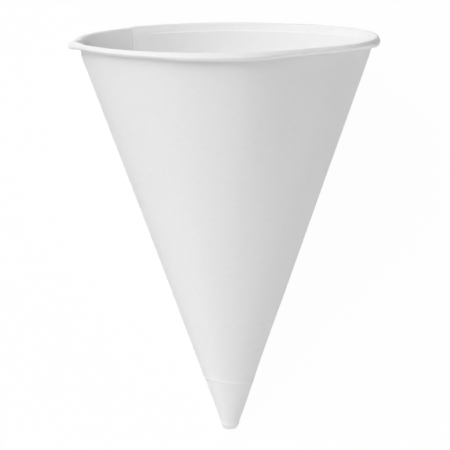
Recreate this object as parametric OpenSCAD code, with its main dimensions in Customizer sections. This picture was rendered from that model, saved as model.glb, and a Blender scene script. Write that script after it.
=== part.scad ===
// Cone cup: a small drinking cup wound from one sheet of white paper, with a rolled rim and a blunt tip.
// It lies on its flattened back, with the mouth towards +Y and the tip towards -Y.

/* [Mouth] */
// Width of the mouth over the rolled rim
mouth_width = 75; // [60:0.5:90]
// Depth of the mouth over the rolled rim, front to back
mouth_depth = 64; // [52:0.5:76]
// Diameter of the rolled rim
bead_diameter = 1.8; // [1.4:0.1:3]
// Gap between the end of the roll and the wall
bead_gap = 0.2; // [0.1:0.05:0.4]

/* [Body] */
// Height from the tip to the top of the rim
height = 95; // [75:0.5:125]
// Thickness of the paper
paper = 0.25; // [0.15:0.05:0.35]

/* [Seam] */
// Angle from the middle of the back to the sheet's inner edge
seam_side = 39; // [20:1:60]
// Width of the sheet's overlap at the mouth
seam_width = 12; // [8:0.5:18]

/* [Tip] */
// Diameter of the tip's blunt end
tip_diameter = 3; // [2.4:0.1:5]
// Radius round the tip's blunt end
tip_round = 0.9; // [0.5:0.05:1.1]
// Thickness of the paper folded into the closed tip
tip_floor = 1.2; // [0.6:0.1:2.5]
// Height of the outer turn's lower edge above the tip
edge_height = 11.8; // [8:0.1:18]
// Slant of the outer turn's lower edge
edge_slant = 8; // [0:1:14]
// How far the inner turn reaches up inside the outer turn
inner_height = 10; // [5:0.5:20]

/* [Hidden] */
$fn = 180;
arc_step = 12;

// Section points are rounded, so that neighbouring stretches of the winding meet face to face
point_step = 0.001;
function to_step(value) = round(value / point_step) * point_step;
function rounded(p) = [to_step(p[0]), to_step(p[1])];
function arc(mid, radius, from, turn) =
    let (steps = ceil(abs(turn) / arc_step))
    [for (i = [0:steps]) let (a = from + turn * i / steps) mid + radius * [cos(a), sin(a)]];

// The rolled rim's middle, in the wall's section (distance from the axis, height)
bead_r = bead_diameter / 2;
bead_mid = [mouth_width / 2 - bead_r, height - bead_r];

// The wall's section: a straight line from the tip's corner that runs into the roll
tip_corner = [tip_diameter / 2, 0];
bead_reach = bead_mid - tip_corner;
taper = atan2(bead_reach[0], bead_reach[1]) - asin(bead_r / norm(bead_reach));
function wall(along, out) =
    tip_corner + along * [sin(taper), cos(taper)] + out * [cos(taper), -sin(taper)];
function wall_at_height(z, out) = wall((z + out * sin(taper)) / cos(taper), out);

// The roll turns out and down from the wall, and stops short of it
bead_start = 180 - taper;
bead_turn = 360 - acos((bead_r - 2 * paper - bead_gap) / bead_r);

// The tip's rounded corner, and the top of the inner turn
tip_mid = wall(tip_round * (1 - sin(taper)) / cos(taper), -tip_round);
inner_top = edge_height + inner_height;

// The winding: half a turn is set out by half a thickness, so that its end lies one thickness
// outside the sheet's start, and laps over it
seam_azimuth = 90 + seam_side;
lap_angle = seam_width / (mouth_width / 2) * 180 / PI;
half_ply = paper / 2;

// The cup is oval: its depth is the same share of its width at every height
oval = mouth_depth / mouth_width;

// Lying: the line that touches the rim's back and either the outer turn's lower edge or the tip
edge_corner = wall_at_height(edge_height, paper);
function touch_angle(mid, radius) =
    let (reach = bead_mid - mid)
    atan2(reach[0], reach[1]) + asin((bead_r - radius) / norm(reach));
touch = min(touch_angle(tip_mid, tip_round), touch_angle(edge_corner, 0));
lean = 90 - atan(oval * tan(touch));
function lying_y(p) = oval * p[0] * cos(lean) + p[1] * sin(lean);
function lying_z(p) = p[1] * cos(lean) - oval * p[0] * sin(lean);
function reach_y(radius) = radius * norm([oval * cos(lean), sin(lean)]);
function reach_z(radius) = radius * norm([oval * sin(lean), cos(lean)]);
lowest_z = lying_z(bead_mid) - reach_z(bead_r);
mouth_y = lying_y(bead_mid) + reach_y(bead_r);
tip_y = lying_y([-tip_mid[0], tip_mid[1]]) - reach_y(tip_round);
middle_x = half_ply * (cos(seam_azimuth) - 1) / 2;

// Where it lies, the paper is pressed flat by half its thickness
floor_z = lowest_z + half_ply;

// The sheet in section, plies thick and set out by shift: the wall, the roll, and the inner turn
// that closes the tip
module sheet_section(plies, shift) {
    points = concat(
        [wall_at_height(0, plies * paper)],
        arc(bead_mid, bead_r - plies * paper, bead_start, -bead_turn),
        arc(bead_mid, bead_r, bead_start - bead_turn, bead_turn),
        [wall_at_height(inner_top, 0), wall_at_height(inner_top, -paper)],
        [wall_at_height(tip_floor, -paper)]
    );
    outline = [for (p = points) rounded(p) + [shift, 0]];
    polygon(concat([[0, 0]], outline, [[0, tip_floor]]));
}

// What lies outside the inner turn at the tip, set out by shift
module trim_section(shift) {
    far = inner_top;
    points = concat(
        [[tip_mid[0], -tip_floor]],
        arc(tip_mid, tip_round, -90, 90 - taper),
        [wall_at_height(inner_top, 0), [far, inner_top], [far, -tip_floor]]
    );
    polygon([for (p = points) rounded(p) + [shift, 0]]);
}

// One sheet, wound a little over one turn
module wound_sheet() {
    rotate_extrude(start = -180, angle = 180)
        sheet_section(1, 0);
    rotate_extrude(start = -lap_angle, angle = lap_angle)
        sheet_section(2, 0);
    translate([half_ply, 0, 0])
        rotate_extrude(angle = 180)
            sheet_section(1, half_ply);
}

// What the outer turn leaves bare: everything outside the inner turn and below a slanted edge
module bare_tip() {
    intersection() {
        union() {
            rotate_extrude(start = -180, angle = 180)
                trim_section(0);
            translate([half_ply, 0, 0])
                rotate_extrude(angle = 180)
                    trim_section(half_ply);
        }
        rotate(-seam_azimuth)
            translate([0, 0, edge_height])
                rotate([0, edge_slant, 0])
                    translate([-mouth_width / 2, -mouth_width / 2, -height])
                        cube([mouth_width, mouth_width, height]);
    }
}

module upright_cup() {
    scale([1, oval, 1])
        rotate(seam_azimuth)
            difference() {
                wound_sheet();
                bare_tip();
            }
}

module cone_cup() {
    color([0.94, 0.94, 0.93])
        translate([-middle_x, -(mouth_y + tip_y) / 2, -floor_z])
            difference() {
                rotate([-lean, 0, 0])
                    upright_cup();
                translate([-mouth_width / 2, tip_y, floor_z - tip_floor])
                    cube([mouth_width, mouth_y - tip_y, tip_floor]);
            }
}

cone_cup();
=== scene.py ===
"""A cone-shaped paper cup, lying on its flattened back, seen from above."""
import math

import bpy
import numpy as np
from mathutils import Matrix, Vector


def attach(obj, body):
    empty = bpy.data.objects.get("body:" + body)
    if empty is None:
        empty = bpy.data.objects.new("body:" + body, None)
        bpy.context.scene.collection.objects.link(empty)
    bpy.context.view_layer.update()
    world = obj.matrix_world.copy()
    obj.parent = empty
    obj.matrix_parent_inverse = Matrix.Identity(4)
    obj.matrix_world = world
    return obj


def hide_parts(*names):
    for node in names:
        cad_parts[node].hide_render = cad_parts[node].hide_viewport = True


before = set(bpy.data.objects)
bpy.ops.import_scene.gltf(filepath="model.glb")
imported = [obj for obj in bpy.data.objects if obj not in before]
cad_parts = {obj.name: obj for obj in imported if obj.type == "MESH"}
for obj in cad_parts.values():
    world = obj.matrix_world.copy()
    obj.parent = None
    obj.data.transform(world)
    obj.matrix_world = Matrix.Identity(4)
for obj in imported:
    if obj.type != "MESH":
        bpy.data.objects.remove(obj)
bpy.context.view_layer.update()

# Sizes of the cup as it would be held upright, in millimetres
MM = 0.001
MOUTH_WIDTH = 75.0
MOUTH_DEPTH = 64.0
HEIGHT = 95.0
PAPER = 0.25
OVAL = MOUTH_DEPTH / MOUTH_WIDTH
HALF_WIDTH = MOUTH_WIDTH / 2

# The rolled rim: the gap is between its end and the wall, and its outer face is flattened and tilted up
BEAD_R = 0.9
BEAD_GAP = 0.2
BEAD_FLAT = 0.83
BEAD_TILT = math.radians(27)
BEAD_CORNER = 30
BEAD_PRESSED = 0.6

# The band that the rolling pressed into the back wall, with faint steps in its flare at places across it
BAND_LOW = 93.1
BAND_FLARE = 0.34
BAND_LEDGE = 0.16
# Strength of a painted highlight: a whiter line along the band's ledge, standing in for the light that the
# ledge catches
BAND_PAINTED_HIGHLIGHT = 0.8
BAND_STEPS = ((-23.0, 0.08), (-13.0, 0.10), (-8.5, -0.06), (2.0, 0.08), (8.5, 0.06), (21.0, -0.08))

# The winding: the azimuth of the sheet's start, and how far its end laps over the start
SEAM = math.radians(129.0)
LAP = math.radians(18.33)
SKIVED = 0.6 * PAPER
SKIVED_TURN = math.radians(5)
SEAM_ASLANT = math.radians(2.6)
# Columns of points along the winding, in degrees from its start, closest at the pleat in the rim
COLUMNS = ((0, 297, 290), (297, 321, 76), (321, 360 + math.degrees(LAP), 64))

# The tip: a blunt end, closed inside by a floor, with a faint ridge above its corner
TIP_R = 1.5
TIP_ROUND = 1.05
TIP_FLOOR = 1.2
TIP_RIDGE = 1.15
TIP_RIDGE_OUT = 0.1
TIP_PLAIN = 2.4
TIP_PROUD = 0.02
TIP_FULL = 0.17
TIP_FOLLOWS = 0.8
TIP_COLUMNS = 180
INNER_HEIGHT = 10.0

# The slanted lower edge of the outer turn, with a thin lip
EDGE_HEIGHT = 11.8
EDGE_R = 5.8
EDGE_SLANT = math.radians(8)
LIP_OUT = 0.07
LIP_WIDE = 0.4

# The wall in section (distance from the axis, height): straight from the tip's corner into the roll
BEAD_MID = np.array([HALF_WIDTH - BEAD_R, HEIGHT - BEAD_R])
REACH = BEAD_MID - (TIP_R, 0)
TAPER = math.atan2(*REACH) - math.asin(BEAD_R / math.hypot(*REACH))
ALONG = np.array([math.sin(TAPER), math.cos(TAPER)])
OUT = np.array([math.cos(TAPER), -math.sin(TAPER)])
BEAD_START = math.pi - TAPER
BEAD_TURN = 2 * math.pi - math.acos((BEAD_R - 2 * PAPER - BEAD_GAP) / BEAD_R)
WALL_TOP = BEAD_MID[1] + BEAD_R * math.sin(BEAD_START)


def smooth(x, low, high):
    """0 below low, 1 above high, and a soft step between."""
    t = np.clip((x - low) / (high - low), 0, 1)
    return t * t * (3 - 2 * t)


def bump(x, middle, width):
    """1 at the middle, falling softly to 0 on both sides."""
    return np.exp(-((x - middle) / width) ** 2)


def wall_point(z, out):
    """The wall's section at a height, set out from the inside face: (distance from the axis, height)."""
    along = (z + out * math.sin(TAPER)) / math.cos(TAPER)
    along, out = np.broadcast_arrays(along, out)
    return np.array([TIP_R, 0]) + along[..., None] * ALONG + out[..., None] * OUT


def revolve(section, azimuth):
    """Section points (columns, rows, 2) turned to their azimuths, on the oval."""
    r, z = section[..., 0], section[..., 1]
    return np.stack([r * np.cos(azimuth), OVAL * r * np.sin(azimuth), z], -1)


# The sheet: one strip wound a little over one turn, then rolled outwards along its top.
# Angles round the cup are arrays of (columns, 1), and heights up the wall of (columns, rows).


def winding_out(wind):
    """How far the wound sheet is set out, so that its end lies one thickness outside its start."""
    past = np.clip(wind, math.pi, 2 * math.pi)
    return PAPER / 2 * (1 + np.cos(past)) * (wind > math.pi)


def wall_rows():
    """Rows up the wall as shares of its height, close together at the lip and at the band's ledge."""
    lip_end = 0.02
    plain_end = 0.94
    ledge_low = (BAND_LOW - 0.45 - EDGE_HEIGHT) / (WALL_TOP - EDGE_HEIGHT)
    ledge_high = (BAND_LOW + 0.35 - EDGE_HEIGHT) / (WALL_TOP - EDGE_HEIGHT)
    return np.concatenate([
        lip_end * np.linspace(0, 1, 10) ** 2,
        np.linspace(lip_end, plain_end, 28)[1:],
        np.linspace(plain_end, ledge_low, 6)[1:],
        np.linspace(ledge_low, ledge_high, 11)[1:],
        np.linspace(ledge_high, 1, 9)[1:],
    ])


def on_ledge(across):
    """1 where the band has a ledge, and 0 left of the seam, where it is soft."""
    return smooth(across, -20.5, -18.5)


def band(height, azimuth):
    """How far the back wall is set out where the rolling pressed it: a flared band under the rim, in flat
    stretches between faint steps, with a narrow ledge along its lower edge."""
    across = HALF_WIDTH * np.cos(azimuth)
    flare = np.full_like(across, BAND_FLARE)
    for x, step in BAND_STEPS:
        flare = flare + step * smooth(across, x - 0.4, x + 0.4)
    soft = 1 - smooth(across, -27, -20)
    crease = BAND_LOW - 3 * soft
    rise = np.clip((height - crease) / (HEIGHT - 0.6 - crease), 0, 1)
    at_back = smooth(np.sin(azimuth), 0.1, 0.5)
    ledge = BAND_LEDGE * on_ledge(across) * smooth(height, crease - 0.32, crease)
    curved = 1 - smooth(across, -13.2, -12.2)
    return at_back * (flare * rise ** (1 + curved) + ledge)


def wall_face(height, low, out, azimuth):
    """The wall's section on one face of the sheet, with the lip along its lower edge and the band."""
    lifted = LIP_OUT * np.exp(-(height - low) / LIP_WIDE)
    set_out = out + lifted + band(height, azimuth)
    return wall_point(height, np.zeros_like(out)) + set_out[..., None] * OUT


def flattened(curl):
    """The roll's radius as a share of the round one: its outer face, tilted up, is pressed rather flat."""
    off = np.clip(curl - BEAD_TILT, -1.2, 1.2)
    flat = BEAD_FLAT / np.cos(off)
    return -np.log(np.exp(-BEAD_CORNER * flat) + math.exp(-BEAD_CORNER)) / BEAD_CORNER


def roll_face(out, azimuth):
    """The roll's section on one face of the sheet, from the top of the wall to the roll's end."""
    curl = BEAD_START - BEAD_TURN * np.linspace(0, 1, 27)[1:]
    to_right = np.cos(azimuth)
    to_front = -np.sin(azimuth)
    ring = np.stack([np.cos(curl), np.sin(curl)], -1) * flattened(curl)[:, None]
    roll = BEAD_MID + (BEAD_R - out[..., None]) * ring
    roll = roll + band(WALL_TOP, azimuth)[..., None] * OUT
    # It is a little taller at the middle of the front and at the right end
    past_top = curl < math.pi / 2
    taller = 0.95 + 0.19 * smooth(to_front, 0.86, 0.98) + 0.3 * smooth(to_right, 0.88, 1)
    roll[:, past_top, 1] = HEIGHT - taller * (HEIGHT - roll[:, past_top, 1])
    # Right of the front its underside is pressed towards the wall
    under = np.clip((HEIGHT - BEAD_R - roll[..., 1]) / BEAD_R, 0, 1)
    pressed = smooth(to_right, 0.15, 0.45) * (1 - smooth(to_right, 0.9, 1))
    pressed = pressed * smooth(to_front, 0, 0.3)
    at_wall = wall_point(roll[..., 1], np.full(roll.shape[:2], PAPER))[..., 0]
    roll[..., 0] -= BEAD_PRESSED * pressed * under * np.maximum(roll[..., 0] - at_wall, 0)
    return roll


def painted_highlight_share(height, low, azimuth):
    """Painted highlight: whiter lines along the wall's cut lower edge and the band's ledge, where edges
    catch light, weaker to the right.
    """
    across = HALF_WIDTH * np.cos(azimuth)
    # Both lines are painted highlight, fading away from the key light on the left
    cut = bump(height - low, 0, LIP_WIDE) * (1 - 0.6 * smooth(across, 10, 30))
    crease = smooth(np.sin(azimuth), 0.3, 0.7) * on_ledge(across) * (1 - smooth(across, 12, 26))
    return cut + BAND_PAINTED_HIGHLIGHT * crease * bump(height, BAND_LOW - 0.12, 0.16)


def sheet_grid():
    """Inside and outside faces of the wound sheet, each as columns of points from the lower edge to the
    roll's end, and the share of painted highlight on the paper at each point."""
    wind = np.concatenate([np.linspace(a, b, n, endpoint=b > 360) for a, b, n in COLUMNS])
    wind = np.radians(wind)[:, None]
    azimuth = SEAM - wind
    low = EDGE_HEIGHT - EDGE_R * np.cos(azimuth) * math.tan(EDGE_SLANT)
    height = low + wall_rows() * (WALL_TOP - low)
    skived = SKIVED * (1 - smooth(wind, 0, SKIVED_TURN))
    aslant = SEAM_ASLANT * (1 - smooth(wind, 0, math.radians(20)))
    faces, painted_highlight = [], []
    for thickness in (skived, PAPER):
        out = winding_out(wind) + thickness
        roll = roll_face(out, azimuth)
        section = np.concatenate([wall_face(height, low, out, azimuth), roll], 1)
        below_rim = 1 - smooth(section[..., 1], HEIGHT - 8, HEIGHT - 1)
        faces.append(revolve(section, azimuth + aslant * below_rim))
        painted_highlight.append(np.concatenate([painted_highlight_share(height, low, azimuth), np.zeros(roll.shape[:2])], 1))
    return faces, np.concatenate([face.ravel() for face in painted_highlight])


def strip_quads(p, q):
    """Quads between two rows of point numbers."""
    return np.stack([p[:-1], q[:-1], q[1:], p[1:]], -1)


def closed_strip(inside, outside):
    """Points and quads of a strip with thickness: two faces and the four narrow edges between them."""
    n, m = inside.shape[:2]
    points = np.concatenate([inside.reshape(-1, 3), outside.reshape(-1, 3)])
    a = np.arange(n * m).reshape(n, m)
    b = a + n * m
    quads = [
        np.stack([a[:-1, :-1], a[:-1, 1:], a[1:, 1:], a[1:, :-1]], -1).reshape(-1, 4),
        np.stack([b[:-1, :-1], b[1:, :-1], b[1:, 1:], b[:-1, 1:]], -1).reshape(-1, 4),
        strip_quads(a[0], b[0]),
        strip_quads(b[-1], a[-1]),
        strip_quads(b[:, 0], a[:, 0]),
        strip_quads(a[:, -1], b[:, -1]),
    ]
    return points, np.concatenate(quads)


# The inner turn, which comes out below the outer one and closes the tip


def tip_profile(set_out):
    """The inner turn in section, from the middle of its end round to the middle of its floor."""
    corner_up = TIP_ROUND * (1 - math.sin(TAPER)) / math.cos(TAPER)
    mid = wall_point(0.0, 0.0) + corner_up * ALONG - TIP_ROUND * OUT
    end = [(0.0, 0.0), (mid[0] * 0.5, 0.0)]
    angles = np.linspace(-math.pi / 2, -TAPER, 9)
    corner = [tuple(mid + TIP_ROUND * np.array([math.cos(t), math.sin(t)])) for t in angles]
    inner_top = EDGE_HEIGHT + INNER_HEIGHT
    at_ridge = np.linspace(corner[-1][1], TIP_PLAIN, 12)[1:]
    heights = np.concatenate([at_ridge, np.linspace(TIP_PLAIN, inner_top, 26)[1:]])
    # It is full towards the outer turn's edge, and follows the winding there
    full = (TIP_FULL + TIP_FOLLOWS * set_out) * smooth(heights, 2, EDGE_HEIGHT)
    proud = TIP_PROUD + full + TIP_RIDGE_OUT * bump(heights, TIP_RIDGE, 0.2)
    outer = [tuple(q) for q in wall_point(heights, proud)]
    inner = [tuple(wall_point(z, -PAPER)) for z in np.linspace(inner_top, TIP_FLOOR, 24)]
    return np.array(end + corner + outer + inner + [(0.0, TIP_FLOOR)])


def tip_at(azimuth):
    """The inner turn's section at an azimuth: set out with the sheet, and back to its start at the lap."""
    wind = np.mod(SEAM - azimuth, 2 * math.pi)
    before_lap = 1 - smooth(wind, 2 * math.pi - LAP, 2 * math.pi)
    return tip_profile(winding_out(wind) * before_lap)


def closed_turn(profile_at, columns):
    """Points and faces of a profile that starts and ends on the axis, turned through a full circle."""
    azimuth = np.linspace(0, 2 * math.pi, columns, endpoint=False)
    profiles = np.array([profile_at(a) for a in azimuth])
    section = profiles[:, 1:-1]
    points = revolve(section, azimuth[:, None]).reshape(-1, 3)
    m = section.shape[1]
    a = np.arange(columns * m).reshape(columns, m)
    b = np.roll(a, -1, 0)
    quads = np.stack([a[:, :-1], b[:, :-1], b[:, 1:], a[:, 1:]], -1).reshape(-1, 4)
    first = len(points)
    last = first + 1
    points = np.concatenate([points, [[0, 0, profiles[0, 0, 1]], [0, 0, profiles[0, -1, 1]]]])
    fans = [(b[i, 0], a[i, 0], first) for i in range(columns)]
    fans += [(a[i, -1], b[i, -1], last) for i in range(columns)]
    return points, quads, fans


# The unevenness of the real cup, as soft moves of the whole shape, in millimetres.
# The front turns a corner right of its middle, and is dented beyond it, deepest towards the rim
CORNER_AT = 5.0
CORNER_SOFT = 3.0
CORNER_SLOPE = 0.19
CORNER_FADES = 32
LEFT_SLOPE = 0.045
LEFT_SOFT = 6.0
DENT_AT = 23.5
DENT_WIDE = 8.5
DENT_DEEP = 2.2
DENT_LESS_AT_RIM = 1.2
# The back turns a corner near its middle, and is kinked along the seam
BACK_AT = -4.5
BACK_SOFT = 9.0
BACK_SLOPE = 0.07
KINK_DEEP = 1.3
KINK_WIDE = 7.0
# The rim's left end is blunt, with a pleat (in degrees to each side) that sticks out and down as an ear
BLUNT_IN = 0.75
BLUNT_BEAD_OUT = 0.85
PLEAT_HALF = 8
PLEAT_DEEP = 1.2
EAR_OUT = 0.75
EAR_FULLER = 0.45
EAR_DOWN = 0.9
# The rim's right end is drawn in, and a little down
DRAWN_IN = 0.25
DRAWN_DOWN = 0.05
# The sides are slimmer, the wall hollow at mid height and full at the tip, and the tip longer
LEFT_SLIMMER = 0.42
RIGHT_SLIMMER = 0.24
TIP_SWELL = 0.16
WALL_HOLLOW = 0.14
BACK_IN = 0.1
BACK_IN_AT_RIM = 0.35
TIP_LONGER = 0.35


def folds(x, z, theta):
    """How far the front and the back are moved in depth where they turn soft corners."""
    share = (TIP_R + z * math.tan(TAPER)) / HALF_WIDTH
    across = x / share
    u = np.clip(np.cos(theta), -1, 1)
    ends = (1 - u * u) ** 0.25
    front = smooth(-np.sin(theta), -0.1, 0.3)
    back = 1 - front
    beyond = across - CORNER_AT
    hinge = (beyond + np.hypot(beyond, CORNER_SOFT)) / 2
    front_fold = CORNER_SLOPE * hinge * (1 - hinge / CORNER_FADES)
    front_fold = front_fold + LEFT_SLOPE * (np.hypot(beyond, LEFT_SOFT) - beyond) / 2
    dent = DENT_DEEP * smooth(z, 40, 85) - DENT_LESS_AT_RIM * smooth(z, HEIGHT - 7, HEIGHT - 2)
    front_fold = front_fold + dent * bump(across, DENT_AT, DENT_WIDE)
    back_fold = BACK_SLOPE * (np.hypot(across - BACK_AT, BACK_SOFT) - BACK_SOFT)
    seam_kink = KINK_DEEP * np.exp(-np.abs(across - HALF_WIDTH * math.cos(SEAM)) / KINK_WIDE)
    high = smooth(z, 12, 85)
    return high * share * ends * (front * front_fold - back * (back_fold - seam_kink))


def left_end(x, z, theta, from_axis):
    """The rim's left end: blunt, with a pleat in its middle that sticks out and down as an ear."""
    u = np.clip(np.cos(theta), -1, 1)
    from_left = np.degrees(np.arccos(np.clip(-u, -1, 1)))
    rim = smooth(z, HEIGHT - 4.5, HEIGHT - 1.2)
    on_bead = smooth(from_axis, BEAD_MID[0] - 0.9, BEAD_MID[0] + 0.6)
    on_bead = on_bead * smooth(z, HEIGHT - 3.4, HEIGHT - 1.6)
    blunt = (BLUNT_IN - BLUNT_BEAD_OUT * on_bead) * rim * smooth(-u, 0.90, 1.0)
    pleat = np.clip(1 - from_left / PLEAT_HALF, 0, 1) ** 1.3
    groove = PLEAT_DEEP * pleat * smooth(z, HEIGHT - 3, HEIGHT - 0.5) * (1 - on_bead)
    fuller = EAR_FULLER * bump(from_left, 0, 30) * smooth(np.sin(theta), -0.1, 0.15)
    ear = (fuller + EAR_OUT * pleat) * on_bead
    return x + blunt - groove - ear, z - EAR_DOWN * on_bead * bump(from_left, 0, 14)


def right_end(x, z, theta):
    """The rim's right end, drawn in."""
    from_right = np.degrees(np.arccos(np.clip(np.cos(theta), -1, 1)))
    drawn = bump(from_right, 0, 24) * smooth(z, HEIGHT - 5, HEIGHT - 1.5)
    return x - DRAWN_IN * drawn, z - DRAWN_DOWN * drawn


def slimmer(x, y, z, theta):
    """The sides a little slimmer, the wall a little hollow at mid height and full at the tip, the back
    drawn in where the cup lies on it, and the tip a little longer."""
    u = np.clip(np.cos(theta), -1, 1)
    lain_on = smooth(np.sin(theta), 0.3, 0.9)
    x = x + LEFT_SLIMMER * smooth(-u, 0.2, 0.95) * smooth(z, 0, 8)
    x = x - RIGHT_SLIMMER * smooth(u, 0.2, 0.95) * bump(z, 18, 13)
    swell = (TIP_SWELL * bump(z, 6, 5) - WALL_HOLLOW * bump(z, 50, 28)) * (1 - lain_on)
    x = x + swell * np.cos(theta)
    y = y + swell * np.sin(theta) - lain_on * (BACK_IN + BACK_IN_AT_RIM * smooth(z, 80, 93))
    return x, y, z - TIP_LONGER * (1 - smooth(z, 0, 10))


def uneven(p):
    """Moves points of the upright cup as the real cup departs from a clean oval cone."""
    x, y, z = p[:, 0], p[:, 1], p[:, 2]
    theta = np.arctan2(y / OVAL, x)
    from_axis = np.hypot(x, y / OVAL)
    y = y + folds(x, z, theta)
    x, z = left_end(x, z, theta, from_axis)
    x, z = right_end(x, z, theta)
    x, y, z = slimmer(x, y, z, theta)
    return np.stack([x, y, z], -1)


# From upright to lying, as in the part: the cup comes down on the back of its rim and the lower edge of
# its outer turn, is pressed flat there by half a thickness, and its box is centred over the origin
PART_TIP_ROUND = 0.9


def touch_angle():
    """Lean of the line that touches the rim's back and the outer turn's lower edge, in the section."""
    reach = BEAD_MID - wall_point(EDGE_HEIGHT, PAPER)
    return math.atan2(*reach) + math.asin(BEAD_R / math.hypot(*reach))


LEAN = math.pi / 2 - math.atan(OVAL * math.tan(touch_angle()))
LIE = np.array([
    [1, 0, 0],
    [0, math.cos(LEAN), math.sin(LEAN)],
    [0, -math.sin(LEAN), math.cos(LEAN)],
])


def lying_offset():
    """Where the upright cup's origin comes to lie."""
    cos, sin = math.cos(LEAN), math.sin(LEAN)
    corner_up = PART_TIP_ROUND * (1 - math.sin(TAPER)) / math.cos(TAPER)
    tip_mid = wall_point(0.0, 0.0) + corner_up * ALONG - PART_TIP_ROUND * OUT
    reach_y = math.hypot(OVAL * cos, sin)
    reach_z = math.hypot(OVAL * sin, cos)
    mouth_y = OVAL * BEAD_MID[0] * cos + BEAD_MID[1] * sin + BEAD_R * reach_y
    tip_y = -OVAL * tip_mid[0] * cos + tip_mid[1] * sin - PART_TIP_ROUND * reach_y
    floor_z = BEAD_MID[1] * cos - OVAL * BEAD_MID[0] * sin - BEAD_R * reach_z + PAPER / 2
    middle_x = PAPER / 2 * (math.cos(SEAM) - 1) / 2
    return np.array([-middle_x, -(mouth_y + tip_y) / 2, -floor_z])


LIE_AT = lying_offset()


def lay_down(p):
    """Points of the upright cup, lying; what would reach into the floor is pressed flat against it."""
    lying = p @ LIE.T + LIE_AT
    lying[:, 2] = np.maximum(lying[:, 2], 0)
    return lying * MM


def make_mesh(name, points, faces):
    """An object of these points and faces, in the scene."""
    mesh = bpy.data.meshes.new(name)
    mesh.from_pydata([tuple(q) for q in points], [], [tuple(int(i) for i in f) for f in faces])
    mesh.validate()
    mesh.update()
    obj = bpy.data.objects.new(name, mesh)
    bpy.context.scene.collection.objects.link(obj)
    return obj


def build_cup():
    """The cup as one mesh: the wound sheet and the inner turn that closes the tip."""
    (inside, outside), painted_highlight = sheet_grid()
    points, quads = closed_strip(inside, outside)
    tip_points, tip_quads, tip_fans = closed_turn(tip_at, TIP_COLUMNS)
    shift = len(points)
    faces = [tuple(f) for f in quads] + [tuple(f) for f in tip_quads + shift]
    faces += [tuple(i + shift for i in f) for f in tip_fans]
    points = np.concatenate([points, tip_points])
    cup = make_mesh("cone_cup_paper", lay_down(uneven(points)), faces)
    # Painted highlight at each point, kept on the mesh for the paper's colour; the inner turn gets none
    shade = np.concatenate([painted_highlight, np.zeros(len(tip_points))]).astype(np.float32)
    cup.data.attributes.new("painted_highlight", "FLOAT", "POINT").data.foreach_set("value", shade)
    cup.data.shade_smooth()
    cup.data.set_sharp_from_angle(angle=math.radians(40))
    return cup


def node(tree, kind, **values):
    """A new node with its settings."""
    made = tree.nodes.new(kind)
    for key, value in values.items():
        setattr(made, key, value)
    return made


def paper_material():
    """Matte white paper: faintly cloudy, finely grained, and with a painted highlight, a whiter colour,
    where the mesh says so.
    """
    mat = bpy.data.materials.new("white_paper")
    mat.use_nodes = True
    tree = mat.node_tree
    link = tree.links.new
    shader = tree.nodes["Principled BSDF"]
    shader.inputs["Specular IOR Level"].default_value = 0.25
    place = node(tree, "ShaderNodeTexCoord").outputs["Object"]
    cloud = node(tree, "ShaderNodeTexNoise")
    cloud.inputs["Scale"].default_value = 800
    cloud.inputs["Detail"].default_value = 5
    cloud.inputs["Roughness"].default_value = 0.6
    link(place, cloud.inputs["Vector"])
    tone = node(tree, "ShaderNodeValToRGB")
    darker, lighter = tone.color_ramp.elements
    darker.position = 0.3
    darker.color = (0.888, 0.888, 0.885, 1)
    lighter.position = 0.7
    lighter.color = (0.912, 0.912, 0.909, 1)
    link(cloud.outputs["Fac"], tone.inputs["Fac"])
    # Painted highlight: the mesh's attribute mixes in a whiter paper colour along the lit edges
    edge = node(tree, "ShaderNodeAttribute", attribute_name="painted_highlight")
    highlight_mix = node(tree, "ShaderNodeMix", data_type="RGBA")
    link(edge.outputs["Fac"], highlight_mix.inputs["Factor"])
    link(tone.outputs["Color"], highlight_mix.inputs["A"])
    highlight_mix.inputs["B"].default_value = (0.98, 0.98, 0.977, 1)
    link(highlight_mix.outputs["Result"], shader.inputs["Base Color"])
    rough = node(tree, "ShaderNodeMapRange")
    rough.inputs["To Min"].default_value = 0.68
    rough.inputs["To Max"].default_value = 0.88
    link(cloud.outputs["Fac"], rough.inputs["Value"])
    link(rough.outputs["Result"], shader.inputs["Roughness"])
    fibre = node(tree, "ShaderNodeTexNoise")
    fibre.inputs["Scale"].default_value = 2600
    fibre.inputs["Detail"].default_value = 3
    link(place, fibre.inputs["Vector"])
    grain = node(tree, "ShaderNodeBump")
    grain.inputs["Strength"].default_value = 0.12
    grain.inputs["Distance"].default_value = 0.00004
    link(fibre.outputs["Fac"], grain.inputs["Height"])
    link(grain.outputs["Normal"], shader.inputs["Normal"])
    return mat


cup = build_cup()
cup.data.materials.append(paper_material())
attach(cup, "root")
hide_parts("cone_cup")

# The studio: a floor that is white to the camera but keeps the cup's shadow, soft light and five lamps
FLOOR_HALF = 4.0
LAMPS_AIM = Vector((0, 0, 0.03))


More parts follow.
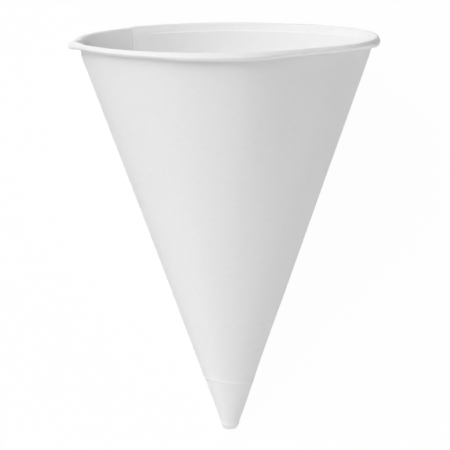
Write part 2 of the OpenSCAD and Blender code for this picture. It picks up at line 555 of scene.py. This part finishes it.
def floor_material():
    """Matte to the lamps' light, and nearly all white to what is seen."""
    mat = bpy.data.materials.new("studio_floor")
    mat.use_nodes = True
    tree = mat.node_tree
    tree.nodes.clear()
    link = tree.links.new
    matte = node(tree, "ShaderNodeBsdfDiffuse")
    matte.inputs["Color"].default_value = (0.86, 0.86, 0.86, 1)
    white = node(tree, "ShaderNodeEmission")
    white.inputs["Color"].default_value = (1, 1, 1, 1)
    path = node(tree, "ShaderNodeLightPath")
    seen = node(tree, "ShaderNodeMath", operation="MAXIMUM")
    link(path.outputs["Is Camera Ray"], seen.inputs[0])
    link(path.outputs["Is Glossy Ray"], seen.inputs[1])
    either = node(tree, "ShaderNodeMath", operation="MAXIMUM")
    link(seen.outputs[0], either.inputs[0])
    link(path.outputs["Is Transmission Ray"], either.inputs[1])
    part = node(tree, "ShaderNodeMath", operation="MULTIPLY")
    link(either.outputs[0], part.inputs[0])
    part.inputs[1].default_value = 0.97
    mix = node(tree, "ShaderNodeMixShader")
    link(part.outputs[0], mix.inputs["Fac"])
    link(matte.outputs[0], mix.inputs[1])
    link(white.outputs[0], mix.inputs[2])
    link(mix.outputs[0], node(tree, "ShaderNodeOutputMaterial").inputs["Surface"])
    return mat


def make_floor():
    """The square that the cup lies on."""
    half = FLOOR_HALF
    corners = [(-half, -half, 0), (half, -half, 0), (half, half, 0), (-half, half, 0)]
    floor = make_mesh("floor", corners, [(0, 1, 2, 3)])
    floor.data.materials.append(floor_material())


def make_world():
    """White to the camera, and a weak even light on the cup."""
    world = bpy.data.worlds.new("studio")
    bpy.context.scene.world = world
    world.use_nodes = True
    tree = world.node_tree
    tree.nodes.clear()
    link = tree.links.new
    soft = node(tree, "ShaderNodeBackground")
    soft.inputs["Color"].default_value = (1, 1, 1, 1)
    soft.inputs["Strength"].default_value = 0.1
    white = node(tree, "ShaderNodeBackground")
    white.inputs["Color"].default_value = (1, 1, 1, 1)
    white.inputs["Strength"].default_value = 1.0
    path = node(tree, "ShaderNodeLightPath")
    mix = node(tree, "ShaderNodeMixShader")
    link(path.outputs["Is Camera Ray"], mix.inputs["Fac"])
    link(soft.outputs[0], mix.inputs[1])
    link(white.outputs[0], mix.inputs[2])
    link(mix.outputs[0], node(tree, "ShaderNodeOutputWorld").inputs["Surface"])


def area_lamp(name, at, size, power):
    """A round lamp aimed at the cup: its place and width in metres, its power in watts."""
    data = bpy.data.lights.new(name, "AREA")
    data.shape = "DISK"
    data.size = size
    data.energy = power
    lamp = bpy.data.objects.new(name, data)
    lamp.location = at
    lamp.rotation_euler = (LAMPS_AIM - Vector(at)).to_track_quat("-Z", "Y").to_euler()
    bpy.context.scene.collection.objects.link(lamp)


make_floor()
make_world()
area_lamp("key", (-0.44, 0.55, 0.85), 0.7, 8.5)
area_lamp("top_fill", (-0.11, 0.88, 0.66), 0.7, 1.1)
area_lamp("left_fill", (-1.05, 0.0, 0.32), 0.7, 0.65)
area_lamp("right_fill", (1.07, -0.14, 0.12), 0.22, 2.05)
area_lamp("low_fill", (-0.04, -0.42, 0.3), 0.35, 1.15)

# The camera looks down on the lying cup, a little above the plane of its rim; AIM_AT is the pixel where
# the middle of the cup's axis is seen, in a picture IMAGE pixels wide
CAMERA_RISE = math.radians(8.2297)
CAMERA_ROLL = math.radians(0.7372)
CAMERA_AWAY = 2000.0
AXIS_MIDDLE = 47.0
PIXELS_PER_MM = 4.1536
IMAGE = 450
AIM_AT = (227.7383, 234.8793)
SENSOR = 36


def make_camera():
    """The scene's camera, far away with a long lens."""
    back = LIE @ np.array([0, -math.cos(CAMERA_RISE), math.sin(CAMERA_RISE)])
    up = LIE @ np.array([0, math.sin(CAMERA_RISE), math.cos(CAMERA_RISE)])
    right = np.cross(up, back)
    cos, sin = math.cos(CAMERA_ROLL), math.sin(CAMERA_ROLL)
    cam_right = cos * right - sin * up
    cam_up = sin * right + cos * up
    target = LIE @ np.array([0, 0, AXIS_MIDDLE]) + LIE_AT
    slide_right = (IMAGE / 2 - AIM_AT[0]) / PIXELS_PER_MM
    slide_up = (AIM_AT[1] - IMAGE / 2) / PIXELS_PER_MM
    at = target + CAMERA_AWAY * back + slide_right * cam_right + slide_up * cam_up
    data = bpy.data.cameras.new("camera")
    data.sensor_width = SENSOR
    data.lens = SENSOR * CAMERA_AWAY * PIXELS_PER_MM / IMAGE
    data.clip_end = 20
    camera = bpy.data.objects.new("camera", data)
    turn = Matrix([[cam_right[i], cam_up[i], back[i]] for i in range(3)]).to_4x4()
    camera.matrix_world = Matrix.Translation(Vector(at * MM)) @ turn
    bpy.context.scene.collection.objects.link(camera)
    bpy.context.scene.camera = camera


make_camera()
bpy.context.scene.view_settings.view_transform = "Standard"
